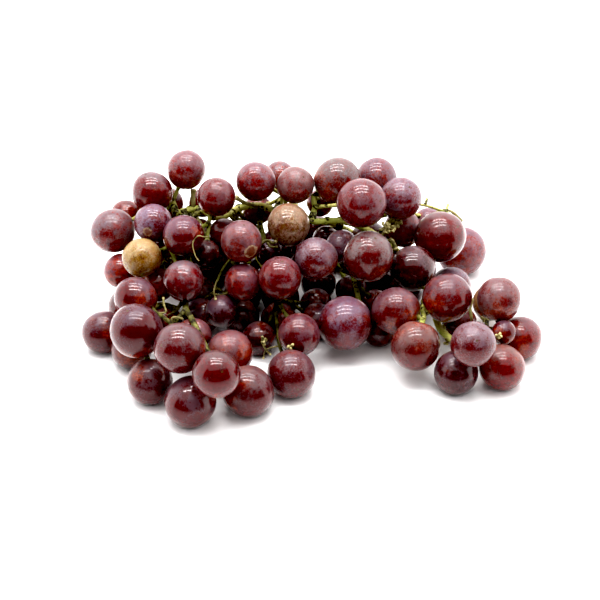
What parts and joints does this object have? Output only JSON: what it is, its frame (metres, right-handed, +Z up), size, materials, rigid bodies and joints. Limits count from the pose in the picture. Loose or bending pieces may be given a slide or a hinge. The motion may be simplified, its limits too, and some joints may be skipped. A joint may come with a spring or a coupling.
{
  "type": "bunch of grapes",
  "caption": "Picked bunch of round red table grapes lying on its side, its sprays of bloomed berries spread from a green main stem.",
  "frame": {"origin": "on the table under the middle of the bunch", "axes": "+X to the right along the bunch's length as the picture shows it, +Y towards its back, +Z up"},
  "size_m": [0.2245, 0.1756, 0.0771],
  "materials": {
    "stem": "yellow-green grape stem, matt, with brown scars",
    "berries": "dark red grape skin under a dusty mauve bloom, satin, on thin green stalks"
  },
  "bodies": {
    "root": {"main_stem": "stem", "left_crown": "berries", "left_top": "berries", "left_shoulder": "berries", "left_wing": "berries", "middle_left": "berries", "middle_crown": "berries", "middle_low": "berries", "middle_right": "berries", "right_crown": "berries", "right_top": "berries", "right_shoulder": "berries", "right_wing": "berries", "right_wing_tip": "berries", "back_left": "berries", "back_middle": "berries", "back_right": "berries"}
  },
  "joints": []
}
